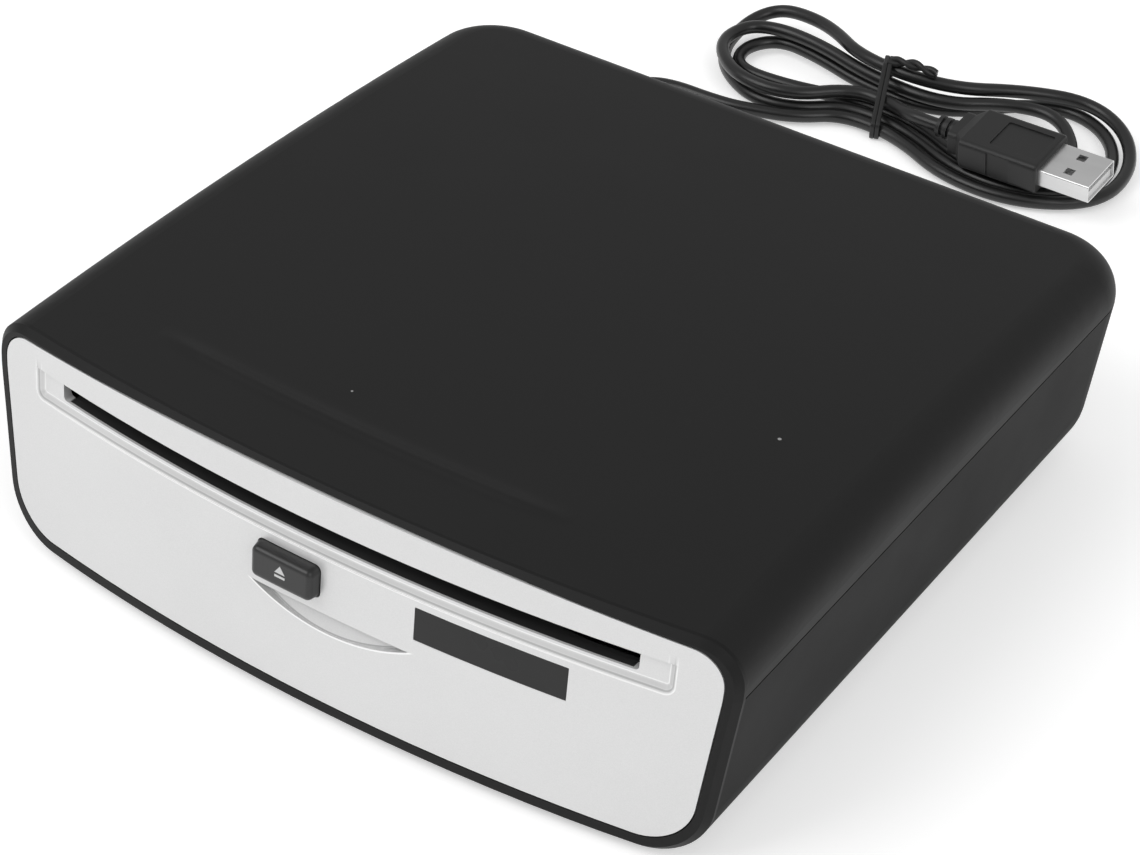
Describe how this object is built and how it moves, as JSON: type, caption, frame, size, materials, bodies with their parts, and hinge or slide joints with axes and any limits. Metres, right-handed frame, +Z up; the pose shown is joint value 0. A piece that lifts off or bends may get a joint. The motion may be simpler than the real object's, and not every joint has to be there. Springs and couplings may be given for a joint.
{
  "type": "external cd drive",
  "caption": "Low rounded box with a wide front slot that draws a disc in, an eject button, a display window and a tied lead with a flat plug.",
  "frame": {"origin": "centre of the casing's footprint on the plane its feet stand on, without the lead", "axes": "+X to the right seen from the front, +Y from the front panel to the rear wall, +Z up"},
  "size_m": [0.162, 0.2781, 0.0508],
  "materials": {
    "top_cover": "fine satin texture",
    "bottom_shell": "fine satin texture",
    "front_frame": "satin",
    "front_panel": "silver paint over plastic, satin",
    "slot_lip": "satin",
    "eject_button": "satin",
    "tact_switch": "plain",
    "switch_plunger": "plain",
    "display_window": "smoked, gloss",
    "display_module": "plain",
    "front_board": "green solder mask",
    "rubber_feet": "matt",
    "case_screws": "dark zinc plate",
    "cord_relief": "matt",
    "drive_tray": "zinc plated sheet",
    "drive_cover": "zinc plated sheet",
    "cover_screws": "zinc plate",
    "drive_dampers": "matt",
    "drive_screws": "zinc plate",
    "load_roller": "matt, tacky",
    "roller_shaft": "ground",
    "roller_bushes": "natural acetal",
    "roller_gear": "natural acetal",
    "idler_gear": "natural acetal",
    "idler_post": "ground",
    "load_motor": "nickel plate",
    "motor_pinion": "machined",
    "traverse_deck": "glass filled",
    "deck_pins": "ground",
    "spindle_motor": "nickel plate",
    "turntable": "turned",
    "turntable_pad": "matt",
    "clamp_arm": "zinc plated sheet",
    "clamp_puck": "satin",
    "clamp_pin": "ground",
    "guide_rods": "ground and plated",
    "pickup_sled": "die cast",
    "objective_lens": "coated",
    "lead_screw": "rolled",
    "sled_motor": "nickel plate",
    "cam_slider": "natural acetal",
    "main_board": "green solder mask",
    "board_chips": "moulded epoxy",
    "board_screws": "zinc plate",
    "usb_header": "plain",
    "ribbon_sockets": "plain",
    "flat_cable": "laminated",
    "inner_cable": "smooth",
    "usb_lead": "smooth satin",
    "usb_hank": "smooth satin",
    "cord_tie": "coated wire",
    "usb_plug": "moulded satin",
    "usb_plug_shell": "nickel plate",
    "usb_plug_tongue": "plain"
  },
  "bodies": {
    "case": {"top_cover": "top_cover", "bottom_shell": "bottom_shell", "front_frame": "front_frame", "front_panel": "front_panel", "slot_lip": "slot_lip", "tact_switch": "tact_switch", "display_window": "display_window", "display_module": "display_module", "front_board": "front_board", "rubber_feet": "rubber_feet", "case_screws": "case_screws", "cord_relief": "cord_relief", "drive_tray": "drive_tray", "drive_cover": "drive_cover", "cover_screws": "cover_screws", "drive_dampers": "drive_dampers", "drive_screws": "drive_screws", "roller_bushes": "roller_bushes", "idler_post": "idler_post", "load_motor": "load_motor", "clamp_pin": "clamp_pin", "main_board": "main_board", "board_chips": "board_chips", "board_screws": "board_screws", "usb_header": "usb_header", "ribbon_sockets": "ribbon_sockets", "flat_cable": "flat_cable", "inner_cable": "inner_cable", "usb_lead": "usb_lead", "usb_hank": "usb_hank", "cord_tie": "cord_tie", "usb_plug": "usb_plug", "usb_plug_shell": "usb_plug_shell", "usb_plug_tongue": "usb_plug_tongue"},
    "button": {"eject_button": "eject_button", "switch_plunger": "switch_plunger"},
    "roller": {"load_roller": "load_roller", "roller_shaft": "roller_shaft", "roller_gear": "roller_gear"},
    "idler": {"idler_gear": "idler_gear"},
    "motor": {"motor_pinion": "motor_pinion"},
    "deck": {"traverse_deck": "traverse_deck", "deck_pins": "deck_pins", "spindle_motor": "spindle_motor", "guide_rods": "guide_rods", "sled_motor": "sled_motor"},
    "spindle": {"turntable": "turntable", "turntable_pad": "turntable_pad"},
    "sled": {"pickup_sled": "pickup_sled", "objective_lens": "objective_lens"},
    "screw": {"lead_screw": "lead_screw"},
    "cam": {"cam_slider": "cam_slider"},
    "arm": {"clamp_arm": "clamp_arm"},
    "puck": {"clamp_puck": "clamp_puck"}
  },
  "joints": [
    {"name": "eject_press", "type": "slide", "parent": "case", "child": "button", "axis": [0, 1, 0], "range_m": [0, 0.0006], "stiffness_N_per_m": 900},
    {"name": "roller_turn", "type": "hinge", "parent": "case", "child": "roller", "pos_m": [0, -0.058, 0.035], "axis": [1, 0, 0], "continuous": true},
    {"name": "idler_turn", "type": "hinge", "parent": "case", "child": "idler", "pos_m": [0.068, -0.05573, 0.02629], "axis": [1, 0, 0], "continuous": true},
    {"name": "motor_turn", "type": "hinge", "parent": "case", "child": "motor", "pos_m": [0.068, -0.046, 0.024], "axis": [1, 0, 0], "continuous": true},
    {"name": "deck_lift", "type": "hinge", "parent": "case", "child": "deck", "pos_m": [0, 0.062, 0.023], "axis": [-1, 0, 0], "range_deg": [0, 4.5]},
    {"name": "cam_slide", "type": "slide", "parent": "case", "child": "cam", "axis": [1, 0, 0], "range_m": [0, 0.01402]},
    {"name": "clamp_lower", "type": "hinge", "parent": "case", "child": "arm", "pos_m": [0, 0.06, 0.0446], "axis": [1, 0, 0], "range_deg": [0, 2.21]},
    {"name": "spindle_turn", "type": "hinge", "parent": "deck", "child": "spindle", "pos_m": [0, 0.00691, 0.03471], "axis": [0, -0.0785, 0.9969], "continuous": true},
    {"name": "sled_travel", "type": "slide", "parent": "deck", "child": "sled", "axis": [1, 0, 0], "range_m": [0, 0.031]},
    {"name": "screw_turn", "type": "hinge", "parent": "deck", "child": "screw", "pos_m": [0.03, -0.01282, 0.02413], "axis": [1, 0, 0], "range_deg": [0, 3722]},
    {"name": "puck_turn", "type": "hinge", "parent": "arm", "child": "puck", "pos_m": [0, 0.00802, 0.046], "axis": [0, 0.0384, 0.9993], "continuous": true}
  ],
  "couplings": [
    {"joint": "idler_turn", "follows": "roller_turn", "ratio": -2},
    {"joint": "motor_turn", "follows": "roller_turn", "ratio": 6},
    {"joint": "cam_slide", "follows": "deck_lift", "m_per_rad": 0.17825},
    {"joint": "clamp_lower", "follows": "deck_lift", "ratio": 0.48889},
    {"joint": "screw_turn", "follows": "sled_travel", "rad_per_m": 2094.4}
  ]
}
